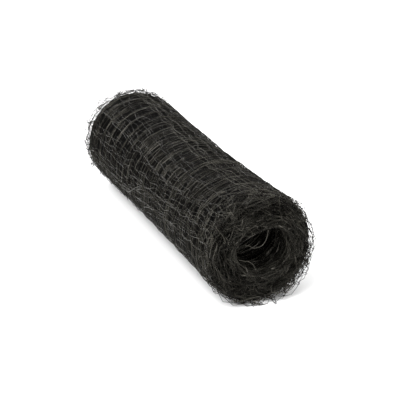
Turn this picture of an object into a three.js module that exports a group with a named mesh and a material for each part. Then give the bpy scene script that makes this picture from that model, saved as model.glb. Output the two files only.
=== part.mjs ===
// A roll of black extruded plastic bird netting, lying on its side.
// The net is folded across its width to the length of the roll, and then wound round an open bore.
// It is one turned solid: its outside is slightly waisted, and the turns show on both ends as
// rounded ridges with grooves between them. It rests on both rims and sags a little between them.
// The fine mesh isn't modelled here.
// Lengths are millimetres. +X runs along the roll and +Z is up. The origin is on the floor,
// under the middle of the roll.
import * as THREE from 'three';

// Outside
const ROLL_LENGTH = 400; // over the outer turn's two folded edges
const FAR_RIM_RADIUS = 57.9; // where the slack outer turn carries the roll, beside the -X end
const NEAR_RIM_RADIUS = 56.5; // the same beside the +X end
const RIM_BAND_LENGTH = 36; // the straight band beside each end
const WAIST_RADIUS = 55; // where the roll is wound tightest
const WAIST_PLACE = 45; // the waist's place along the roll, from its middle towards +X
const WAIST_ROUNDING = 1.5; // a higher power makes the waist longer and its ends steeper
const SAG_SHARE = 0.7; // how much of the gap under the waist the soft roll's own weight closes

// Inside
const BORE_RADIUS = 23.5;

// Turns, as they show on the ends
const TURN_THICKNESS = 6.6; // one turn of the folded net
const GROOVE_WIDTH = 2.4; // between two turns
const GROOVE_DEPTH = 4;
const MIDDLE_TURN_RECESS = 8; // from the outer turn's edge in to the middle turn's edge
const BORE_TURN_RECESS = 1; // from the outer turn's edge in to the innermost turn's edge

// Smoothness of the turned shape
const SIDES = 32; // round the axis, with one side flat on the floor
const WAIST_STEPS = 8; // along the waist

const HALF_LENGTH = ROLL_LENGTH / 2;
const WAIST_HALF_LENGTH = HALF_LENGTH - RIM_BAND_LENGTH;
const TURNS = Math.max(2, Math.round((NEAR_RIM_RADIUS - BORE_RADIUS) / TURN_THICKNESS));
const HALF_SIDE_ANGLE = Math.PI / SIDES;
const FLAT_SIDE_SHARE = Math.cos(HALF_SIDE_ANGLE); // of the radius, from the axis to a flat side

// How far a turn's folded edge lies inside the end of the roll. Turn 0 is at the bore.
function turnRecess(turn) {
  const outwards = turn / (TURNS - 1);
  return BORE_TURN_RECESS * (1 - outwards) + MIDDLE_TURN_RECESS * Math.sin(Math.PI * outwards);
}

// The outside radius at a place along the roll.
function outsideRadius(place) {
  const isNear = place > WAIST_PLACE;
  const rimRadius = isNear ? NEAR_RIM_RADIUS : FAR_RIM_RADIUS;
  const rimPlace = isNear ? WAIST_HALF_LENGTH : -WAIST_HALF_LENGTH;
  const towardsRim = Math.min(1, Math.abs((place - WAIST_PLACE) / (rimPlace - WAIST_PLACE)));
  return WAIST_RADIUS + (rimRadius - WAIST_RADIUS) * towardsRim ** WAIST_ROUNDING;
}

// The height of the roll's middle line at a place along it. Both rims rest on the floor.
function middleHeight(place) {
  const towardsNear = (place + WAIST_HALF_LENGTH) / (2 * WAIST_HALF_LENGTH);
  const fromFar = Math.min(1, Math.max(0, towardsNear));
  const carried = FAR_RIM_RADIUS + (NEAR_RIM_RADIUS - FAR_RIM_RADIUS) * fromFar;
  const sag = SAG_SHARE * (carried - outsideRadius(place));
  return (carried - sag) * FLAT_SIDE_SHARE;
}

// One end of the roll from the bore outwards: a ridge for each turn and a groove between turns.
function endProfile(rimRadius) {
  const turnPitch = (rimRadius - BORE_RADIUS) / TURNS;
  const points = [];
  for (let turn = 0; turn < TURNS; turn += 1) {
    const inner = BORE_RADIUS + turn * turnPitch;
    const outer = inner + turnPitch;
    const edge = HALF_LENGTH - turnRecess(turn);
    const isFirst = turn === 0;
    const isLast = turn === TURNS - 1;
    if (!isFirst) {
      const deeper = Math.min(edge, HALF_LENGTH - turnRecess(turn - 1));
      points.push(new THREE.Vector2(inner, deeper - GROOVE_DEPTH));
    }
    points.push(new THREE.Vector2(isFirst ? inner : inner + GROOVE_WIDTH / 2, edge));
    points.push(new THREE.Vector2(isLast ? outer : outer - GROOVE_WIDTH / 2, edge));
  }
  return points;
}

// The outside between the two ends, from +X to -X: both straight bands and the waist.
function outsideProfile() {
  const points = [];
  for (let step = 0; step <= WAIST_STEPS; step += 1) {
    const along = WAIST_HALF_LENGTH * (1 - (2 * step) / WAIST_STEPS);
    points.push(new THREE.Vector2(outsideRadius(along), along));
  }
  return points;
}

// The whole section, which closes on itself at the bore.
function sectionProfile() {
  const nearEnd = endProfile(NEAR_RIM_RADIUS);
  const farEnd = endProfile(FAR_RIM_RADIUS)
    .map((point) => new THREE.Vector2(point.x, -point.y))
    .reverse();
  return [...nearEnd, ...outsideProfile(), ...farEnd, nearEnd[0].clone()];
}

// Raises each ring of the turned shape, whose axis is Y, to its height over the floor.
function settle(geometry) {
  const points = geometry.getAttribute('position');
  for (let index = 0; index < points.count; index += 1) {
    points.setZ(index, points.getZ(index) + middleHeight(points.getY(index)));
  }
}

function makeNettingRoll() {
  const geometry = new THREE.LatheGeometry(sectionProfile().reverse(), SIDES, HALF_SIDE_ANGLE);
  settle(geometry);
  const plastic = new THREE.MeshStandardMaterial({ color: 0x22201f, roughness: 0.5, metalness: 0 });
  const roll = new THREE.Mesh(geometry, plastic);
  roll.name = 'netting_roll';
  roll.rotation.z = -Math.PI / 2; // the turning axis Y comes to lie along X
  return roll;
}

const birdNetting = new THREE.Group();
birdNetting.add(makeNettingRoll());

export default birdNetting;
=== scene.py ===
"""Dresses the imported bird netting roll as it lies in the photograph.

The roll is one extruded plastic net, folded across its width to the length of the roll and
wound round an open bore. Every strand that can be seen is real geometry: a smooth map carries
the flat net onto the wound roll, and both families of strand are thin tubes laid on that map.
Lengths are metres. +X runs along the roll, +Z is up, and the roll rests on z = 0.
"""

import logging
import math
from dataclasses import dataclass, field
from enum import Enum

import bpy
import numpy as np
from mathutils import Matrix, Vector


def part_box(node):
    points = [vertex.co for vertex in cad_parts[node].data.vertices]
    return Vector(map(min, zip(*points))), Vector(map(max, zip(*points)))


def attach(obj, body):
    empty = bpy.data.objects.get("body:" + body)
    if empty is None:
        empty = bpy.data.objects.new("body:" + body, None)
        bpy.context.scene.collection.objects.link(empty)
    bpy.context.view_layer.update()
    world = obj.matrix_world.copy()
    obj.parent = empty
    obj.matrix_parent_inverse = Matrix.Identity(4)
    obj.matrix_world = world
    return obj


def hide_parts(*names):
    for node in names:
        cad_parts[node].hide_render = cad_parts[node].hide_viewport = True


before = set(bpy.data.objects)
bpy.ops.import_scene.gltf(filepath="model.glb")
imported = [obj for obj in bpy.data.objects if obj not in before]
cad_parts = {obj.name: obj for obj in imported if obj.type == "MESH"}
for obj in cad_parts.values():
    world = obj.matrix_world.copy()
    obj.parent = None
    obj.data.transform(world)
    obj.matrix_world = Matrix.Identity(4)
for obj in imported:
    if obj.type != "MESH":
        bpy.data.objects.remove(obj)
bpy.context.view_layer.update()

NODE = "netting_roll"
BODY = "root"
PAINTED_SHEEN_AND_TONE = "painted_sheen_and_tone"  # the attribute that says how light the plastic's colour is: painted sheen on a few strands, plus lighter and darker patches of tone
BAKE_MAP = "OFBake"  # the UV map laid out for baking
MM = 0.001
TAU = 2 * math.pi
TINY = 1e-12  # keeps a direction's length from being nothing

Colour = tuple[float, float, float, float]

log = logging.getLogger("bird_netting")


def fade(distance: np.ndarray, reach: float) -> np.ndarray:
    """Returns 1 at no distance, and ever less further away."""
    return np.exp(-distance / reach)


def bell(distance: np.ndarray, reach: float) -> np.ndarray:
    """Returns 1 at no distance, and less to either side, in the shape of a bell."""
    return np.exp(-((distance / reach) ** 2))


def scatter(place: np.ndarray) -> np.ndarray:
    """Returns a value from 0 to 1 for each place that has nothing to do with its neighbours'."""
    frequency, stretch = 7919.0, 43758.5
    return np.mod(np.abs(np.sin(place * frequency)) * stretch, 1)


def deselect_all() -> None:
    """Leaves nothing selected, so that the next operator acts on its own piece alone."""
    for thing in bpy.context.selected_objects:
        thing.select_set(False)


@dataclass(frozen=True)
class Ripple:
    """A smooth, seeded, wavy field over a flat sheet.

    Attributes:
        seed: what makes this field differ from the others.
        across: the shortest and longest wavelengths across the net's width, in metres.
        along: the shortest and longest wavelengths along the net's length, in metres.
        size: its usual largest value, to either side of nothing.
        waves: how many sine waves are summed.
    """

    seed: int
    across: tuple[float, float]
    along: tuple[float, float]
    size: float = 1.0
    waves: int = 12

    def at(self, u: np.ndarray, v: np.ndarray) -> np.ndarray:
        """Reads the field.

        Args:
            u: places across the sheet, in metres.
            v: places along the sheet, in metres.

        Returns:
            The field's values there.
        """
        draw = np.random.RandomState(self.seed)
        total = np.zeros(np.broadcast(u, v).shape)
        for _ in range(self.waves):
            per_u = draw.choice((-1, 1)) / draw.uniform(*self.across)
            per_v = 1 / draw.uniform(*self.along)
            phase = draw.uniform(0, TAU)
            total = total + np.sin(TAU * (u * per_u + v * per_v) + phase)
        return self.size * total / math.sqrt(self.waves)


@dataclass(frozen=True)
class RollShape:
    """The wound roll's sizes, which repeat the turned solid's.

    Attributes:
        half_length: from the middle of the roll to the outer turn's folded edge.
        axis_height: height of the roll's middle line over the floor, where it is thickest.
        far_radius: outside radius beside the far end.
        near_radius: outside radius beside the near end.
        waist_radius: outside radius of the waist, where the roll is thinnest.
        waist_place: the waist's place along the roll.
        waist_rounding: a higher power makes the waist longer and its ends steeper.
        sag_share: how much of the gap under the waist the soft roll's own weight closes.
        rim_band: length of the straight band beside each end.
        bore_radius: inside radius.
        middle_recess: how far the middle turns' edges lie inside the outer turn's.
        recess_rounding: a lower power makes the hollow of the ends flatter.
        bow: how far the roll's middle line sways to either side.
        bow_length: length of roll over which it sways from its middle to a side and back.
    """

    half_length: float
    axis_height: float
    far_radius: float = 57.9 * MM
    near_radius: float = 56.5 * MM
    waist_radius: float = 55 * MM
    waist_place: float = 45 * MM
    waist_rounding: float = 1.5
    sag_share: float = 0.7
    rim_band: float = 36 * MM
    bore_radius: float = 23.5 * MM
    middle_recess: float = 8 * MM
    recess_rounding: float = 0.7
    bow: float = 1.3 * MM
    bow_length: float = 400 * MM

    @classmethod
    def from_frame(cls) -> "RollShape":
        """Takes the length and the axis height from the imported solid's box."""
        low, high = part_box(NODE)
        return cls(half_length=(high.x - low.x) / 2, axis_height=(high.z + low.z) / 2)

    def outside(self, x: np.ndarray) -> np.ndarray:
        """Works out the outside radius.

        Args:
            x: places along the roll.

        Returns:
            The radius at each place.
        """
        near = x > self.waist_place
        rim_place = np.where(near, 1, -1) * (self.half_length - self.rim_band)
        towards_rim = np.clip((x - self.waist_place) / (rim_place - self.waist_place), 0, 1)
        rim_radius = np.where(near, self.near_radius, self.far_radius)
        rise = towards_rim**self.waist_rounding
        return self.waist_radius + (rim_radius - self.waist_radius) * rise

    def height(self, x: np.ndarray) -> np.ndarray:
        """Works out the height of the roll's middle line, which sags where the roll is thinner.

        Args:
            x: places along the roll.

        Returns:
            The height over the floor at each place.
        """
        rim_place = self.half_length - self.rim_band
        from_far = np.clip((x + rim_place) / (2 * rim_place), 0, 1)
        carried = self.far_radius + (self.near_radius - self.far_radius) * from_far
        sag = self.sag_share * (carried - self.outside(x))
        return (carried - sag) * self.axis_height / self.far_radius

    def sway(self, x: np.ndarray) -> np.ndarray:
        """Returns how far the roll's middle line lies to the side, as -Y, at places along it."""
        return self.bow * np.sin(math.pi * x / self.bow_length)

    def recess(self, outwards: np.ndarray) -> np.ndarray:
        """Returns how far a turn's edge lies inside the roll's end, from bore (0) to outside (1)."""
        middle = np.sin(math.pi * np.clip(outwards, 0, 1)) ** self.recess_rounding
        return self.middle_recess * middle


@dataclass(frozen=True)
class Mouth:
    """The near end of the bore, which is squashed to an oval off the middle.

    Attributes:
        growth: how much wider the bore is there all round.
        oval: how much wider still it is from side to side, and how much flatter it is.
        shift_y: how far it lies towards +Y.
        shift_z: how far it lies upwards.
        reach: how far into the roll the odd shape is felt.
        most: the largest share of it that a loop hanging into the bore takes on.
    """

    growth: float = 2.5 * MM
    oval: float = 3.2 * MM
    shift_y: float = 6.5 * MM
    shift_z: float = -2.0 * MM
    reach: float = 90 * MM
    most: float = 1.1


@dataclass(frozen=True)
class FoldedEnds:
    """How the net's folds, which make the roll's ends, spring open and stand out.

    Attributes:
        bend: how gently the net turns back at a fold.
        crossing: how far from a fold the net has passed from one ply to the next.
        ragged_depth: how far the folds lie inside the neat end on average.
        ragged: how much more or less than that, as a share of it.
        inset_reach: how far into the roll a fold's inset is felt.
        slack: how much crookeder the strands are at the folds.
        slack_reach: how far into the roll they are.
        tangle_reach: how far into the roll the loops are tangled.
        tangle_out: how the loops stray from the axis.
        tangle_along: how they stray along the roll.
        tangle_round: how they stray round the roll.
        outer_from: where the outermost turns start in the wall, from bore (0) to outside (1).
        outer_calm: how much of the tangle their loops have.
        lift: how far the loops near the outside stand out.
        lift_from: where in the wall that starts, from bore (0) to outside (1).
        lift_over: over how much of the wall it grows.
        opening: how far a fold's two plies spring apart.
        opening_reach: how far into the roll they do.
    """

    bend: float = 1.5 * MM
    crossing: float = 2.5 * MM
    ragged_depth: float = 3 * MM
    ragged: Ripple = Ripple(19, (0.20, 0.50), (0.03, 0.11))
    inset_reach: float = 35 * MM
    slack: float = 1.2
    slack_reach: float = 20 * MM
    tangle_reach: float = 18 * MM
    tangle_out: Ripple = Ripple(31, (0.013, 0.036), (0.014, 0.040), 3.4 * MM)
    tangle_along: Ripple = Ripple(32, (0.013, 0.036), (0.014, 0.040), 4.5 * MM)
    tangle_round: Ripple = Ripple(33, (0.013, 0.036), (0.014, 0.040), 5.5 * MM)
    outer_from: float = 0.93
    outer_calm: float = 0.65
    lift: float = 1.2 * MM
    lift_from: float = 0.9
    lift_over: float = 0.06
    opening: float = 1.3 * MM
    opening_reach: float = 9 * MM


@dataclass(frozen=True)
class Drifts:
    """How the strands wander between the roll's ends.

    Attributes:
        shared_round: round the roll, for neighbouring turns alike, because they press together.
        shared_along: along the roll, for neighbouring turns alike.
        shared_radius: radius of the ring on which these two are read, so that they close.
        own_round: round the roll, for each ply by itself.
        own_along: along the roll, for each ply by itself, as a share.
        own_along_size: how much of it most plies have.
        crook_round: bends of single strands round the roll.
        crook_along: bends of single strands along the roll.
        swell: the plies' own distance from the axis.
        spring: the single strands' own distance from the axis.
        free_from: how far from a fold the strands are free to drift along the roll.
    """

    shared_round: Ripple = Ripple(21, (0.20, 0.50), (0.10, 0.30), 5 * MM)
    shared_along: Ripple = Ripple(22, (0.15, 0.40), (0.10, 0.30), 4 * MM)
    shared_radius: float = 60 * MM
    own_round: Ripple = Ripple(11, (0.30, 0.90), (0.15, 0.60), 3.5 * MM)
    own_along: Ripple = Ripple(12, (0.12, 0.40), (0.10, 0.30))
    own_along_size: float = 0.35 * MM
    crook_round: Ripple = Ripple(15, (0.024, 0.060), (0.024, 0.060), 1.4 * MM)
    crook_along: Ripple = Ripple(16, (0.024, 0.060), (0.024, 0.060), 1.1 * MM)
    swell: Ripple = Ripple(17, (0.06, 0.16), (0.06, 0.16), 0.45 * MM)
    spring: Ripple = Ripple(18, (0.020, 0.045), (0.020, 0.045), 0.3 * MM)
    free_from: float = 25 * MM


@dataclass(frozen=True)
class LiningUp:
    """How the outer turn's plies line up their meshes towards the far end.

    Attributes:
        shifts: how far each ply's meshes move along the roll.
        until: the place along the roll where half of it is left.
        over: length over which it fades.
        looseness: how far the plies still wander from their lines.
    """

    shifts: tuple[float, ...] = (6.4 * MM, 0.2 * MM, -6.7 * MM, -6.1 * MM, -0.5 * MM)
    until: float = -45 * MM
    over: float = 30 * MM
    looseness: float = 2.4 * MM


@dataclass(frozen=True)
class Twist:
    """A stretch of the outside whose meshes lean, because the ends were wound unevenly.

    Attributes:
        arc: how far the strands are turned back at the near end, and forward at the far end.
        angle: the middle of the stretch, from the top towards the camera.
        spread: how far round the roll it reaches to either side.
    """

    arc: float = 14 * MM
    angle: float = math.radians(85)
    spread: float = math.radians(50)


@dataclass(frozen=True)
class Spots:
    """Points of the flat net, and what the map has to know of each.

    Attributes:
        u: places across the net's width.
        v: places along the net's length.
        ply: which ply of the folded net they are on, from the bore side.
        fold: number of the nearest fold.
        from_fold: how far past that fold they lie, across the net.
        inwards: how far they lie from the fold's bend.
        angle: how far the net has been turned when it is wound up to them.
        facing: the same from the top of the roll towards the camera.
        outwards: how far out in the wall they lie, from bore (0) to outside (1).
        end: which end of the roll the fold is at, as 1 for the near end and -1 for the far end.
        neat_x: where along the roll they would lie if it were wound neatly.
    """

    u: np.ndarray
    v: np.ndarray
    ply: np.ndarray
    fold: np.ndarray
    from_fold: np.ndarray
    inwards: np.ndarray
    angle: np.ndarray
    facing: np.ndarray
    outwards: np.ndarray
    end: np.ndarray
    neat_x: np.ndarray


@dataclass
class WoundNet:
    """The flat net's map onto the wound roll.

    Attributes:
        shape: the roll's sizes.
        mesh_across: a mesh opening's side across the net, which is along the roll.
        mesh_along: a mesh opening's side along the net, which is round the roll.
        plies: layers of the folded net in one turn.
        turns: how many times the folded net goes round.
        free_edge_angle: where the outer end of the net lies, from the top towards the camera.
        skew: how many meshes further round one edge of the net lies than the other.
        floor_gap: how high the lowest strands' middle lines lie over the floor.
        floor_softness: how gradually the strands settle on the floor.
        mouth: the near end of the bore.
        ends: the folded ends.
        drifts: how the strands wander.
        lining_up: how the outer turn's meshes line up.
        twist: how they lean.
    """

    shape: RollShape
    mesh_across: float = 19.36 * MM
    mesh_along: float = 21.5 * MM
    plies: int = 5
    turns: float = 20.0
    free_edge_angle: float = math.radians(98)
    skew: float = 1.0
    floor_gap: float = 0.6 * MM
    floor_softness: float = 0.8 * MM
    mouth: Mouth = Mouth()
    ends: FoldedEnds = FoldedEnds()
    drifts: Drifts = Drifts()
    lining_up: LiningUp = LiningUp()
    twist: Twist = Twist()

    def __post_init__(self) -> None:
        """Works out the sizes that follow from the others."""
        wall = self.shape.waist_radius - self.shape.bore_radius
        samples = 400
        self.turn_thickness = wall / self.turns
        self.ply_thickness = self.turn_thickness / (self.plies + 1)
        self.fold_width = 2 * self.shape.half_length
        self.net_width = self.plies * self.fold_width
        angles = np.linspace(0, TAU * self.turns, samples)
        radii = self.shape.bore_radius + self.turn_thickness * (angles / TAU + 0.5)
        steps = np.diff(angles) * (radii[1:] + radii[:-1]) / 2
        self._angles = angles
        self._lengths = np.concatenate([[0], np.cumsum(steps)])

    def length_at_turn(self, turn: float) -> float:
        """Returns how much net is wound up when a turn is full."""
        return float(np.interp(TAU * turn, self._angles, self._lengths))

    def mouth_share(self, x: np.ndarray, radius: np.ndarray) -> np.ndarray:
        """Works out how much of the mouth's odd shape is felt.

        Args:
            x: places along the roll.
            radius: their distances from the axis.

        Returns:
            The share of it, which is 1 at the near end of the bore and nothing on the outside.
        """
        shape = self.shape
        inner = (shape.outside(x) - radius) / (shape.outside(x) - shape.bore_radius)
        return np.clip(inner, 0, self.mouth.most) * bell(shape.half_length - x, self.mouth.reach)

    def _spots(self, u: np.ndarray, v: np.ndarray) -> Spots:
        """Works out what the map has to know of points of the flat net.

        Args:
            u: places across the net's width.
            v: places along the net's length.

        Returns:
            The points.
        """
        ends = self.ends
        ply = np.clip(np.floor(u / self.fold_width), 0, self.plies - 1)
        fold = np.round(u / self.fold_width)
        from_fold = u - fold * self.fold_width
        inwards = np.sqrt(from_fold**2 + ends.bend**2) - ends.bend
        angle = np.interp(v, self._lengths, self._angles)
        outwards = np.clip((angle / TAU + ply / self.plies) / (self.turns + 1), 0, 1)
        end = np.where(np.mod(fold, 2) == 0, -1.0, 1.0)
        ragged = ends.ragged_depth * (1 + ends.ragged.at(fold * self.fold_width, v))
        inset = (self.shape.recess(outwards) + ragged) * fade(inwards, ends.inset_reach)
        neat_x = end * (self.shape.half_length - inwards - inset)
        facing = self.free_edge_angle + (angle - TAU * self.turns)
        return Spots(u, v, ply, fold, from_fold, inwards, angle, facing, outwards, end, neat_x)

    def _slack(self, spots: Spots) -> np.ndarray:
        """Returns how much crookeder than between the ends the strands are."""
        return 1 + self.ends.slack * fade(spots.inwards, self.ends.slack_reach)

    def _tangle(self, spots: Spots) -> np.ndarray:
        """Returns how tangled the loops are."""
        calm = np.where(spots.outwards > self.ends.outer_from, self.ends.outer_calm, 1.0)
        return fade(spots.inwards, self.ends.tangle_reach) * calm

    def _shared(self, ripple: Ripple, spots: Spots) -> np.ndarray:
        """Reads a field so that neighbouring turns have the same values.

        Args:
            ripple: the field.
            spots: the points.

        Returns:
            The field's values there.
        """
        reach = self.drifts.shared_radius
        return ripple.at(
            spots.neat_x + reach * np.sin(spots.facing), reach * np.cos(spots.facing)
        )

    def _along(self, spots: Spots) -> np.ndarray:
        """Works out where along the roll the points lie.

        Args:
            spots: the points.

        Returns:
            Their places along X.
        """
        drifts, lining_up = self.drifts, self.lining_up
        free = 1 - bell(spots.inwards, drifts.free_from)
        middle = spots.end * (self.shape.half_length - spots.inwards)
        lined_up = free * (1 - np.tanh((middle - lining_up.until) / lining_up.over)) / 2
        lined_up = lined_up * (spots.angle > TAU * (self.turns - 1))
        own = drifts.own_along.at(spots.u, spots.v)
        shift = np.take(lining_up.shifts, spots.ply.astype(int))
        x = spots.neat_x
        x = x + free * (self._shared(drifts.shared_along, spots) + drifts.own_along_size * own)
        x = x + lined_up * (shift + lining_up.looseness * own)
        x = x + self._slack(spots) * drifts.crook_along.at(spots.u, spots.v)
        return x + self._tangle(spots) * self.ends.tangle_along.at(spots.u, spots.v)

    def _out(self, spots: Spots, x: np.ndarray) -> np.ndarray:
        """Works out how far from the axis the points lie, before the mouth is squashed.

        Args:
            spots: the points.
            x: where along the roll they lie.

        Returns:
            Their distances from the axis.
        """
        shape, ends, drifts = self.shape, self.ends, self.drifts
        past = np.tanh(spots.from_fold / ends.crossing)
        layer = np.clip(spots.fold + past / 2, 0.5, self.plies - 0.5)
        lifted = np.clip((spots.outwards - ends.lift_from) / ends.lift_over, 0, 1)
        radius = shape.bore_radius + self.turn_thickness * spots.angle / TAU
        radius = radius + layer * self.ply_thickness
        radius = radius + ends.opening * past * fade(spots.inwards, ends.opening_reach)
        radius = radius + self._tangle(spots) * ends.tangle_out.at(spots.u, spots.v)
        radius = radius + ends.lift * fade(spots.inwards, ends.tangle_reach) * lifted
        radius = radius + drifts.swell.at(spots.u, spots.v)
        radius = radius + self._slack(spots) * drifts.spring.at(spots.u, spots.v)
        stretch = (shape.outside(x) - shape.bore_radius) / (shape.waist_radius - shape.bore_radius)
        return shape.bore_radius + (radius - shape.bore_radius) * stretch

    def _round(self, spots: Spots, x: np.ndarray) -> np.ndarray:
        """Works out how far round the roll the points have strayed.

        Args:
            spots: the points.
            x: where along the roll they lie.

        Returns:
            The lengths of arc.
        """
        drifts = self.drifts
        away = np.mod(spots.facing - self.twist.angle + math.pi, TAU) - math.pi
        leaning = bell(away, self.twist.spread) * x / self.shape.half_length
        return (
            -self.twist.arc * leaning
            + self._shared(drifts.shared_round, spots)
            + drifts.own_round.at(spots.u, spots.v)
            + self.skew * self.mesh_along * spots.u / self.net_width
            + self._tangle(spots) * self.ends.tangle_round.at(spots.u, spots.v)
            + self._slack(spots) * drifts.crook_round.at(spots.u, spots.v)
        )

    def place(self, u: np.ndarray, v: np.ndarray) -> np.ndarray:
        """Carries points of the flat net onto the roll.

        Args:
            u: places across the net's width, in metres.
            v: places along the net's length, in metres.

        Returns:
            The points in the row frame, with x, y and z on the last axis.
        """
        shape, mouth = self.shape, self.mouth
        spots = self._spots(u, v)
        x = self._along(spots)
        radius = self._out(spots, x)
        turned = spots.facing + self._round(spots, x) / radius
        share = self.mouth_share(x, radius)
        radius = radius + share * (mouth.growth - mouth.oval * np.cos(2 * turned))
        y = -shape.sway(x) - radius * np.sin(turned) + mouth.shift_y * share
        z = shape.height(x) + radius * np.cos(turned) + mouth.shift_z * share
        over_floor = (z - self.floor_gap) / self.floor_softness
        z = self.floor_gap + self.floor_softness * np.logaddexp(0, over_floor)
        return np.stack([x, y, z], axis=-1)


@dataclass
class StrandMesher:
    """Turns centre lines into one mesh of thin tubes, closed at both ends.

    Attributes:
        sides: flat sides round a strand. With four of them every face has four corners.
        twist: how far the lightest strands' sides are turned against the darkest ones', in radians.
        cell_margin: the edge left free in each face's cell of the UV map.
    """

    sides: int = 4
    twist: float = 5.0
    cell_margin: float = 0.1
    _points: list[np.ndarray] = field(default_factory=list)
    _faces: list[np.ndarray] = field(default_factory=list)
    _painted_sheens_and_tones: list[np.ndarray] = field(default_factory=list)
    _count: int = 0

    def add(
        self, lines: np.ndarray, radii: np.ndarray, reference: np.ndarray, painted_sheens_and_tones: np.ndarray
    ) -> None:
        """Adds strands that all have the same number of points.

        Args:
            lines: centre lines, as strands by points by 3.
            radii: strand radius at each point, as strands by points.
            reference: a direction across each strand at each point.
            painted_sheens_and_tones: how light the plastic's colour is at each point, as strands by
                points, which is painted sheen and random tone. A lighter strand is also twisted
                further.
        """
        strands, length, _ = lines.shape
        tangent = np.gradient(lines, axis=1)
        tangent /= np.linalg.norm(tangent, axis=-1, keepdims=True) + TINY
        across = reference - tangent * np.sum(reference * tangent, axis=-1, keepdims=True)
        across /= np.linalg.norm(across, axis=-1, keepdims=True) + TINY
        normal = np.cross(tangent, across)
        turn = np.arange(self.sides) * TAU / self.sides + self.twist * painted_sheens_and_tones[:, :, None]
        ring = (
            across[:, :, None] * np.cos(turn)[..., None]
            + normal[:, :, None] * np.sin(turn)[..., None]
        )
        points = lines[:, :, None] + ring * radii[:, :, None, None]
        index = np.arange(strands * length * self.sides).reshape(strands, length, self.sides)
        index = index + self._count
        after = np.roll(index, -1, axis=2)
        corners = [index[:, :-1], after[:, :-1], after[:, 1:], index[:, 1:]]
        self._points.append(points.reshape(-1, 3))
        self._painted_sheens_and_tones.append(np.repeat(painted_sheens_and_tones.reshape(-1), self.sides))
        self._faces.append(np.stack(corners, axis=-1).reshape(-1, self.sides))
        self._faces.append(index[:, 0, ::-1].reshape(-1, self.sides))
        self._faces.append(index[:, -1].reshape(-1, self.sides))
        self._count += strands * length * self.sides

    def _face_cells(self, faces: int) -> np.ndarray:
        """Lays out the faces for baking, each in its own cell of a square grid.

        Args:
            faces: how many faces there are.

        Returns:
            The corners' places on the map, as faces by corners by 2.
        """
        cells = math.ceil(math.sqrt(faces))
        number = np.arange(faces)
        start = np.stack([number % cells, number // cells], axis=-1)
        low, high = self.cell_margin, 1 - self.cell_margin
        corners = np.array([[low, low], [high, low], [high, high], [low, high]])
        return ((start[:, None] + corners) / cells).astype(np.float32)

    def make(self, name: str) -> bpy.types.Object:
        """Makes the mesh object.

        Args:
            name: the piece's name.

        Returns:
            The new object, at the origin.
        """
        points = np.concatenate(self._points).astype(np.float32)
        faces = np.concatenate(self._faces).astype(np.int32)
        mesh = bpy.data.meshes.new(name)
        mesh.vertices.add(len(points))
        mesh.vertices.foreach_set("co", points.ravel())
        mesh.loops.add(faces.size)
        mesh.loops.foreach_set("vertex_index", faces.ravel())
        mesh.polygons.add(len(faces))
        starts = np.arange(len(faces), dtype=np.int32) * self.sides
        mesh.polygons.foreach_set("loop_start", starts)
        mesh.polygons.foreach_set("use_smooth", np.zeros(len(faces), dtype=bool))
        mesh.update(calc_edges=True)
        layout = mesh.uv_layers.new(name=BAKE_MAP)
        layout.data.foreach_set("uv", self._face_cells(len(faces)).ravel())
        # The attribute holds each point's painted sheen and random tone.
        painted_sheen_and_tone = mesh.attributes.new(PAINTED_SHEEN_AND_TONE, "FLOAT", "POINT")
        painted_sheen_and_tone.data.foreach_set("value", np.concatenate(self._painted_sheens_and_tones).astype(np.float32))
        piece = bpy.data.objects.new(name, mesh)
        bpy.context.scene.collection.objects.link(piece)
        return piece


class Span(Enum):
    """How much of a turn's strands is made."""

    WHOLE = "from end to end"
    ENDS = "near both ends, because the rest can't be seen"


@dataclass(frozen=True)
class TurnGroup:
    """Neighbouring turns that make one piece.

    Attributes:
        first: number of the first turn, counted from the bore.
        last: number of the last turn.
        span: how much of their strands is made.
    """

    first: int
    last: int
    span: Span


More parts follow.
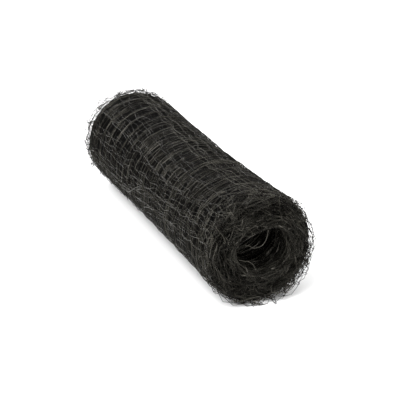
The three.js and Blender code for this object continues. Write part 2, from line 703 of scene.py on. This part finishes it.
@dataclass
class NettingTurns:
    """The net's strands, made some turns at a time.

    Attributes:
        net: the map from the flat net onto the roll.
        joint_radius: strand radius where two strands cross and are one.
        strand_radius: strand radius halfway between two crossings.
        joint_reach: how far from a crossing the strand is thickened.
        end_reach: how far from the ends the strands of hidden turns are made.
        groups: the turns of each piece.
        within_cell: places between two crossings at which a strand is sampled, as shares.
        at_fold: further places round a fold at which it is sampled.
        brightest: a higher power leaves fewer strands with a painted sheen, which look as if they
            catch the light.
        patches: lighter and darker patches of the net.
    """

    net: WoundNet
    joint_radius: float = 0.36 * MM
    strand_radius: float = 0.23 * MM
    joint_reach: float = 1.6 * MM
    end_reach: float = 34 * MM
    groups: tuple[TurnGroup, ...] = (
        TurnGroup(1, 2, Span.WHOLE),
        TurnGroup(3, 4, Span.WHOLE),
        TurnGroup(5, 11, Span.ENDS),
        TurnGroup(12, 18, Span.ENDS),
        TurnGroup(19, 19, Span.WHOLE),
        TurnGroup(20, 20, Span.WHOLE),
    )
    within_cell: tuple[float, ...] = (0.0, 0.12, 0.5, 0.88)
    at_fold: tuple[float, ...] = (-5 * MM, -2 * MM, 0.0, 2 * MM, 5 * MM)
    brightest: float = 2.7
    patches: Ripple = Ripple(41, (0.02, 0.09), (0.02, 0.09), 0.25)

    def _radii(self, places: np.ndarray, size: float) -> np.ndarray:
        """Works out a strand's radius, which is larger near its crossings.

        Args:
            places: places along the strand.
            size: the length from one crossing to the next.

        Returns:
            The radius at each place.
        """
        from_joint = np.abs(places - np.round(places / size) * size)
        thickened = bell(from_joint, self.joint_reach)
        return self.strand_radius + (self.joint_radius - self.strand_radius) * thickened

    def _painted_sheens_and_tones(self, u: np.ndarray, v: np.ndarray, strand: np.ndarray) -> np.ndarray:
        """Chooses how light each strand's colour is: a painted sheen makes a few look as if they
        catch the light and most not, and patches of tone lighten or darken it at random.

        Args:
            u: places across the net's width.
            v: places along the net's length.
            strand: where each strand lies, which sets what it has of its own.

        Returns:
            The shades, from 0 to 1.
        """
        # Painted sheen: a few strands, chosen at random, are coloured lighter as if they caught the
        # light.
        own = scatter(strand) ** self.brightest
        return np.clip(own + self.patches.at(u, v), 0, 1)

    def _cell_places(self, first: int, last: int, size: float) -> np.ndarray:
        """Returns the places to sample from one crossing to another."""
        places = (np.arange(first, last)[:, None] + np.array(self.within_cell)).ravel()
        return np.append(places, last) * size

    def _along_roll_places(self, span: Span) -> list[np.ndarray]:
        """Chooses where across the net's width the strands along the roll are sampled.

        Args:
            span: how much of the strands is made.

        Returns:
            One array for each run of strand.
        """
        net = self.net
        wide = int(net.net_width / net.mesh_across)
        at_fold = np.array(self.at_fold)
        if span is Span.WHOLE:
            folds = np.arange(1, net.plies) * net.fold_width
            extra = (folds[:, None] + at_fold).ravel()
            return [np.unique(np.concatenate([self._cell_places(0, wide, net.mesh_across), extra]))]
        runs = []
        for fold in range(net.plies + 1):
            middle = fold * net.fold_width
            first = max(0, int((middle - self.end_reach) / net.mesh_across))
            last = min(wide, int((middle + self.end_reach) / net.mesh_across) + 1)
            places = self._cell_places(first, last, net.mesh_across)
            if 0 < fold < net.plies:
                places = np.unique(np.concatenate([places, middle + at_fold]))
            runs.append(places)
        return runs

    def _round_direction(self, lines: np.ndarray) -> np.ndarray:
        """Returns the direction round the roll at each point."""
        out = lines - np.array([0, 0, self.net.shape.axis_height])
        return np.stack([np.zeros(out.shape[:-1]), -out[..., 2], out[..., 1]], axis=-1)

    def _add_along_roll(self, mesher: StrandMesher, start: int, end: int, span: Span) -> None:
        """Adds the strands that run along the roll.

        Args:
            mesher: what they are added to.
            start: number of the first crossing along the net's length.
            end: number of the crossing after the last one.
            span: how much of the strands is made.
        """
        net = self.net
        rows = np.arange(start, end) * net.mesh_along
        for places in self._along_roll_places(span):
            u, v = np.meshgrid(places, rows)
            lines = net.place(u, v)
            radii = np.broadcast_to(self._radii(places, net.mesh_across), u.shape)
            painted_sheens_and_tones = self._painted_sheens_and_tones(u, v, rows[:, None])
            mesher.add(lines, radii, self._round_direction(lines), painted_sheens_and_tones)

    def _add_round_roll(self, mesher: StrandMesher, start: int, end: int, span: Span) -> None:
        """Adds the strands that run round the roll.

        Args:
            mesher: what they are added to.
            start: number of the first crossing along the net's length.
            end: number of the last crossing along the net's length.
            span: how much of the strands is made.
        """
        net = self.net
        places = self._cell_places(start, end, net.mesh_along)
        wide = int(net.net_width / net.mesh_across)
        columns = np.arange(0, wide + 1) * net.mesh_across
        if span is Span.ENDS:
            fold = np.round(columns / net.fold_width) * net.fold_width
            columns = columns[np.abs(columns - fold) < self.end_reach]
        v, u = np.meshgrid(places, columns)
        lines = net.place(u, v)
        along_roll = np.broadcast_to(np.array([1.0, 0, 0]), lines.shape)
        radii = np.broadcast_to(self._radii(places, net.mesh_along), u.shape)
        mesher.add(lines, radii, along_roll, self._painted_sheens_and_tones(u, v, columns[:, None]))

    def make(self) -> list[bpy.types.Object]:
        """Makes every group of turns as a piece of its own.

        Returns:
            The pieces, from the bore outwards.
        """
        net = self.net
        pieces = []
        for number, group in enumerate(self.groups, start=1):
            start = int(round(net.length_at_turn(group.first - 1) / net.mesh_along))
            end = int(round(net.length_at_turn(group.last) / net.mesh_along))
            mesher = StrandMesher()
            self._add_along_roll(mesher, start, end, group.span)
            self._add_round_roll(mesher, start, end, group.span)
            pieces.append(mesher.make(f"netting_turns_{number}"))
        return pieces


@dataclass
class LooseStrands:
    """Single strands that have come out of the roll, each along listed points.

    Attributes:
        shape: the roll's sizes.
        strand_radius: radius of the strands.
        painted_sheen_and_tone: how light their colour is, which is painted sheen.
        steps: points made from one chosen point to the next.
        reference: the direction from which the strands' flat sides are turned.
        routes: each strand's points, as the place along the roll in millimetres, the angle from the
            top towards -Y in degrees and the distance from the axis in millimetres.
    """

    shape: RollShape
    strand_radius: float = 0.27 * MM
    painted_sheen_and_tone: float = 0.75
    steps: int = 5
    reference: tuple[float, float, float] = (0.3, 0.5, 0.8)
    routes: tuple[tuple[tuple[float, float, float], ...], ...] = (
        # The sheet's free edge, wavy along the side
        ((-34, 100, 58), (-21, 94, 58.5), (-9, 87, 58.5), (7, 80, 58.5), (25, 78, 58.5),
         (43, 77, 58.5), (56, 78, 58.5), (67, 79, 58)),
        ((-4, 86, 58), (16, 80, 58.5), (31, 79, 58.5), (41, 78, 58.5), (51, 80, 58)),
        ((19, 77, 58), (36, 72, 58.5), (43, 69, 58.5), (55, 67, 58.5), (63, 68, 58)),
        ((20, 98, 58), (38, 92, 58.5), (57, 89, 58.5), (69, 92, 58.5), (86, 92, 58)),
        # A loop that droops into the mouth of the bore from above
        ((203, 58, 23), (203, 55, 19), (203, 55, 15), (203, 50, 12.4), (203, 19, 9.5),
         (203, -4, 13.5), (203, -8, 18), (202, -10, 24)),
        # A free end in the bore
        ((198, 100, 24), (199, 107, 19.5), (200, 113, 16), (200, 139, 14.5), (199, 159, 18.2)),
        # Stray ends on the near end's face
        ((206, 42, 43), (207, 42, 41), (207, 41, 38.9), (207, 37, 39.3), (205, 34, 40)),
        ((205, 54, 63), (207, 56, 58.7), (208, 59, 52), (208, 64, 46.8), (207, 66, 47.6)),
        ((204, 60, 63), (207, 66, 60), (207, 77, 58), (205, 84, 57)),
        ((205, 150, 50), (208, 158, 44), (208, 170, 41), (205, 176, 45)),
        ((205, -150, 50), (208, -158, 43), (208, -170, 39), (205, -168, 33)),
    )

    def _place(self, route: tuple[tuple[float, float, float], ...]) -> np.ndarray:
        """Lays a smooth line through a strand's points, with cubic stretches that run on smoothly.

        Args:
            route: the strand's points along, round and out from the roll.

        Returns:
            The line's points in the row frame.
        """
        points = np.array(route)
        x = points[:, 0] * MM
        angle = np.radians(points[:, 1])
        radius = points[:, 2] * MM
        y = -self.shape.sway(x) - radius * np.sin(angle)
        z = self.shape.height(x) + radius * np.cos(angle)
        chosen = np.stack([x, y, z], axis=-1)
        led_in, led_out = 2 * chosen[0] - chosen[1], 2 * chosen[-1] - chosen[-2]
        ends = np.concatenate([[led_in], chosen, [led_out]])
        line = [chosen[:1]]
        for before, start, end, after in zip(ends, ends[1:], ends[2:], ends[3:]):
            t = np.linspace(0, 1, self.steps + 1)[1:, None]
            heading = end - before
            bend = 2 * before - 5 * start + 4 * end - after
            curl = 3 * (start - end) + after - before
            line.append(start + (heading * t + bend * t**2 + curl * t**3) / 2)
        return np.concatenate(line)

    def make(self) -> bpy.types.Object:
        """Makes all the strands as one piece.

        Returns:
            The piece.
        """
        mesher = StrandMesher()
        for route in self.routes:
            line = self._place(route)[None]
            radii = np.full(line.shape[:2], self.strand_radius)
            painted_sheens_and_tones = np.full(line.shape[:2], self.painted_sheen_and_tone)
            reference = np.broadcast_to(np.array(self.reference), line.shape)
            mesher.add(line, radii, reference, painted_sheens_and_tones)
        return mesher.make("loose_strands")


@dataclass(frozen=True)
class Ring:
    """One ring of the inner plies' body.

    Attributes:
        middle: its middle.
        wide: half its width, along Y.
        tall: half its height, along Z.
    """

    middle: Vector
    wide: float
    tall: float


@dataclass
class InnerPliesPaintedShade:
    """The plies that nobody can see, as one plain dark body of the roll's own shape. Its near-black
    colour is painted shade for the darkness deep inside the wound net.

    Attributes:
        net: the net's map onto the roll.
        under_outside: how far its outside lies under the roll's.
        over_bore: how far its inside lies outside the bore.
        rim_inset: how far its ends lie inside the roll's ends, at its outer edge.
        dish: how much deeper its ends lie in the middle of the wall.
        sides: flat sides round the axis.
        outer_rings: rings along the outside.
        inner_rings: rings along the inside.
        weld: how close two points are when they are one.
    """

    net: WoundNet
    under_outside: float = 1.4 * MM
    over_bore: float = 9 * MM
    rim_inset: float = 15 * MM
    dish: float = 7 * MM
    sides: int = 64
    outer_rings: int = 17
    inner_rings: int = 9
    weld: float = 0.01 * MM

    def _ring(self, x: float, radius: float) -> Ring:
        """Makes one ring, squashed and shifted as the net is there.

        Args:
            x: its place along the roll.
            radius: its radius before it is squashed.

        Returns:
            The ring.
        """
        shape, mouth = self.net.shape, self.net.mouth
        share = float(self.net.mouth_share(x, radius))
        y = -float(shape.sway(x)) + mouth.shift_y * share
        z = float(shape.height(x)) + mouth.shift_z * share
        wide = radius + (mouth.growth + mouth.oval) * share
        tall = radius + (mouth.growth - mouth.oval) * share
        return Ring(Vector((x, y, z)), wide, tall)

    def _rings(self) -> list[Ring]:
        """Lists the rings of the turned shape.

        Returns:
            The rings from the bore at one end, over the outside and the other end, back through
            the bore to the start.
        """
        shape = self.net.shape
        rim = shape.half_length - self.rim_inset
        inside = shape.bore_radius + self.over_bore
        outer = [
            (float(x), float(shape.outside(x)) - self.under_outside)
            for x in np.linspace(-rim, rim, self.outer_rings)
        ]
        inner = [(float(x), inside) for x in np.linspace(rim, -rim, self.inner_rings)]
        middle = (inside + outer[0][1]) / 2
        dished = rim - self.dish
        places = inner[-1:] + [(-dished, middle)] + outer + [(dished, middle)] + inner
        return [self._ring(x, radius) for x, radius in places]

    def make(self) -> bpy.types.Object:
        """Makes the body by drawing one ring out along the roll.

        Returns:
            The piece.
        """
        deselect_all()
        rings = self._rings()
        last = rings[0]
        bpy.ops.mesh.primitive_circle_add(
            vertices=self.sides, radius=last.wide, location=last.middle, rotation=(0, math.pi / 2, 0)
        )
        body = bpy.context.object
        body.name = "inner_plies_painted_shade"
        bpy.ops.object.transform_apply(location=True, rotation=True, scale=True)
        bpy.ops.object.mode_set(mode="EDIT")
        bpy.ops.mesh.select_all(action="SELECT")
        for ring in rings[1:]:
            step = ring.middle - last.middle
            bpy.ops.mesh.extrude_region_move(TRANSFORM_OT_translate={"value": step})
            growth = (1, ring.wide / last.wide, ring.tall / last.tall)
            bpy.ops.transform.resize(value=growth, center_override=ring.middle)
            last = ring
        bpy.ops.mesh.select_all(action="SELECT")
        bpy.ops.mesh.remove_doubles(threshold=self.weld)
        bpy.ops.mesh.normals_make_consistent(inside=False)
        bpy.ops.object.mode_set(mode="OBJECT")
        bpy.ops.object.shade_smooth()
        return body


@dataclass(frozen=True)
class NettingPlastic:
    """Black extruded polypropylene with a waxy sheen. Its base colour also carries a painted sheen:
    strands with a high attribute value are coloured lighter, as if they caught the light.

    Attributes:
        name: the material's name.
        dull: colour of the darkest strands.
        light: colour of the lightest strands, which is painted sheen.
        roughness: how rough it is on average.
        roughness_spread: how much rougher or smoother it is in places, as a share.
        scuffs_per_metre: how fine the scuffs are.
        scuff_detail: how many finer scuffs lie on the coarse ones.
        scuff_strength: how much the scuffs lighten or darken it, as a share.
        specular: how strongly it shines.
        tint: the colour of its shine.
    """

    name: str = "netting_plastic"
    dull: Colour = (0.0014, 0.0013, 0.0011, 1)
    light: Colour = (0.043, 0.041, 0.0335, 1)
    roughness: float = 0.26
    roughness_spread: float = 0.2
    scuffs_per_metre: float = 900.0
    scuff_detail: float = 3.0
    scuff_strength: float = 0.6
    specular: float = 0.22
    tint: Colour = (1.0, 0.95, 0.82, 1)

    def _spread(
        self, tree: bpy.types.NodeTree, value: bpy.types.NodeSocket, middle: float, share: float
    ) -> bpy.types.NodeSocket:
        """Spreads a value from 0 to 1 to either side of a middle value.

        Args:
            tree: the material's nodes.
            value: the socket with the value.
            middle: the middle value.
            share: how far to either side it goes, as a share of the middle value.

        Returns:
            The socket with the new value.
        """
        spread = tree.nodes.new("ShaderNodeMapRange")
        spread.inputs["To Min"].default_value = middle * (1 - share)
        spread.inputs["To Max"].default_value = middle * (1 + share)
        tree.links.new(value, spread.inputs["Value"])
        return spread.outputs["Result"]

    def make(self) -> bpy.types.Material:
        """Makes the material.

        Returns:
            The material.
        """
        material = bpy.data.materials.new(self.name)
        material.use_nodes = True
        tree = material.node_tree
        nodes, links = tree.nodes, tree.links
        shader = nodes["Principled BSDF"]
        painted_sheen_and_tone = nodes.new("ShaderNodeAttribute")
        painted_sheen_and_tone.attribute_name = PAINTED_SHEEN_AND_TONE
        place = nodes.new("ShaderNodeTexCoord")
        scuffs = nodes.new("ShaderNodeTexNoise")
        scuffs.inputs["Scale"].default_value = self.scuffs_per_metre
        scuffs.inputs["Detail"].default_value = self.scuff_detail
        links.new(place.outputs["Object"], scuffs.inputs["Vector"])
        uneven = nodes.new("ShaderNodeMath")
        uneven.operation = "MULTIPLY"
        worn = self._spread(tree, scuffs.outputs["Fac"], 1, self.scuff_strength)
        links.new(worn, uneven.inputs[0])
        links.new(painted_sheen_and_tone.outputs["Fac"], uneven.inputs[1])
        # Painted sheen: the attribute, worn by the scuffs, mixes the base colour from dull to light,
        # so a few strands look as if they catch the light.
        tone = nodes.new("ShaderNodeMix")
        tone.data_type = "RGBA"
        tone.inputs["A"].default_value = self.dull
        tone.inputs["B"].default_value = self.light
        links.new(uneven.outputs["Value"], tone.inputs["Factor"])
        links.new(tone.outputs["Result"], shader.inputs["Base Color"])
        wax = self._spread(tree, scuffs.outputs["Fac"], self.roughness, self.roughness_spread)
        links.new(wax, shader.inputs["Roughness"])
        shader.inputs["Specular IOR Level"].default_value = self.specular
        shader.inputs["Specular Tint"].default_value = self.tint
        return material


# Near-black, matte finish of the inner body: painted shade for the dark depths of the roll.
INNER_PLIES_PAINTED_SHADE = NettingPlastic(
    name="inner_plies_painted_shade",
    dull=(0.001, 0.001, 0.001, 1),
    light=(0.003, 0.003, 0.003, 1),
    roughness=0.8,
    specular=0.02,
)


@dataclass(frozen=True)
class SoftLight:
    """A distant soft light.

    Attributes:
        name: its name.
        comes_from: the direction towards it.
        strength: its strength.
        spread: how wide it looks from the roll, in degrees.
    """

    name: str
    comes_from: tuple[float, float, float]
    strength: float
    spread: float

    def make(self) -> None:
        """Makes the light."""
        data = bpy.data.lights.new(self.name, "SUN")
        data.energy = self.strength
        data.angle = math.radians(self.spread)
        light = bpy.data.objects.new(self.name, data)
        light.rotation_mode = "QUATERNION"
        light.rotation_quaternion = (-Vector(self.comes_from)).to_track_quat("-Z", "Y")
        bpy.context.scene.collection.objects.link(light)


@dataclass(frozen=True)
class Studio:
    """The floor, the lights and the camera, which aren't part of the object.

    Attributes:
        camera_place: the camera's place.
        camera_yaw: the direction in which it looks, round from +X.
        camera_pitch: how far up it looks.
        focal_pixels: its focal length, in picture elements.
        picture_pixels: the picture's width, in picture elements.
        sensor: the camera's sensor width, in millimetres.
        floor_size: the floor's side.
        floor_colour: the floor's colour.
        floor_roughness: how rough the floor is.
        sky_strength: how bright the white surroundings are.
        lights: the lights.
    """

    camera_place: tuple[float, float, float] = (1.1347, -0.4392, 0.4949)
    camera_yaw: float = math.radians(158.2)
    camera_pitch: float = math.radians(-20.49)
    focal_pixels: float = 1184.2
    picture_pixels: float = 400.0
    sensor: float = 36.0
    floor_size: float = 12.0
    floor_colour: Colour = (0.86, 0.86, 0.86, 1)
    floor_roughness: float = 0.9
    sky_strength: float = 0.3
    lights: tuple[SoftLight, ...] = (
        SoftLight("overhead", (0.0, 0.15, 1.0), 1.8, 80),
        SoftLight("left", (0.35, -0.62, 0.75), 4.2, 36),
        SoftLight("glint", (0.35, -0.75, 0.70), 0.20, 8),
        SoftLight("behind", (-0.75, 0.05, 0.70), 1.2, 40),
        SoftLight("front", (0.95, 0.05, 0.25), 2.4, 30),
    )

    def make_camera(self) -> None:
        """Sets up the camera at the photograph's place."""
        data = bpy.data.cameras.new("camera")
        data.sensor_width = self.sensor
        data.lens = self.focal_pixels / self.picture_pixels * self.sensor
        camera = bpy.data.objects.new("camera", data)
        bpy.context.scene.collection.objects.link(camera)
        level = math.cos(self.camera_pitch)
        ahead, aside = level * math.cos(self.camera_yaw), level * math.sin(self.camera_yaw)
        look = Vector((ahead, aside, math.sin(self.camera_pitch)))
        camera.location = self.camera_place
        camera.rotation_mode = "QUATERNION"
        camera.rotation_quaternion = look.to_track_quat("-Z", "Y")
        bpy.context.scene.camera = camera

    def make_floor(self) -> None:
        """Makes the pale floor."""
        deselect_all()
        bpy.ops.mesh.primitive_plane_add(size=self.floor_size, location=(0, 0, 0))
        floor = bpy.context.object
        floor.name = "floor"
        material = bpy.data.materials.new("floor")
        material.use_nodes = True
        shader = material.node_tree.nodes["Principled BSDF"]
        shader.inputs["Base Color"].default_value = self.floor_colour
        shader.inputs["Roughness"].default_value = self.floor_roughness
        floor.data.materials.append(material)

    def make_world(self) -> None:
        """Makes the white surroundings."""
        world = bpy.data.worlds.new("studio")
        world.use_nodes = True
        background = world.node_tree.nodes["Background"]
        background.inputs["Color"].default_value = (1, 1, 1, 1)
        background.inputs["Strength"].default_value = self.sky_strength
        bpy.context.scene.world = world
        bpy.context.scene.view_settings.view_transform = "Standard"

    def make(self) -> None:
        """Makes the whole studio."""
        self.make_camera()
        self.make_floor()
        self.make_world()
        for light in self.lights:
            light.make()


def main() -> None:
    """Builds the studio and the roll."""
    Studio().make()
    net = WoundNet(RollShape.from_frame())
    plastic = NettingPlastic().make()
    pieces = NettingTurns(net).make()
    pieces.append(LooseStrands(net.shape).make())
    for piece in pieces:
        piece.data.materials.append(plastic)
    # The dark inner body is painted shade deep inside the roll.
    inner_plies_painted_shade = InnerPliesPaintedShade(net).make()
    inner_plies_painted_shade.data.materials.append(INNER_PLIES_PAINTED_SHADE.make())
    pieces.append(inner_plies_painted_shade)
    for piece in pieces:
        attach(piece, BODY)
        triangles = sum(len(face.vertices) - 2 for face in piece.data.polygons)
        log.info("%s: %d triangles", piece.name, triangles)
    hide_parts(NODE)


if __name__ == "__main__":
    logging.basicConfig(level=logging.INFO, format="%(message)s")
    main()
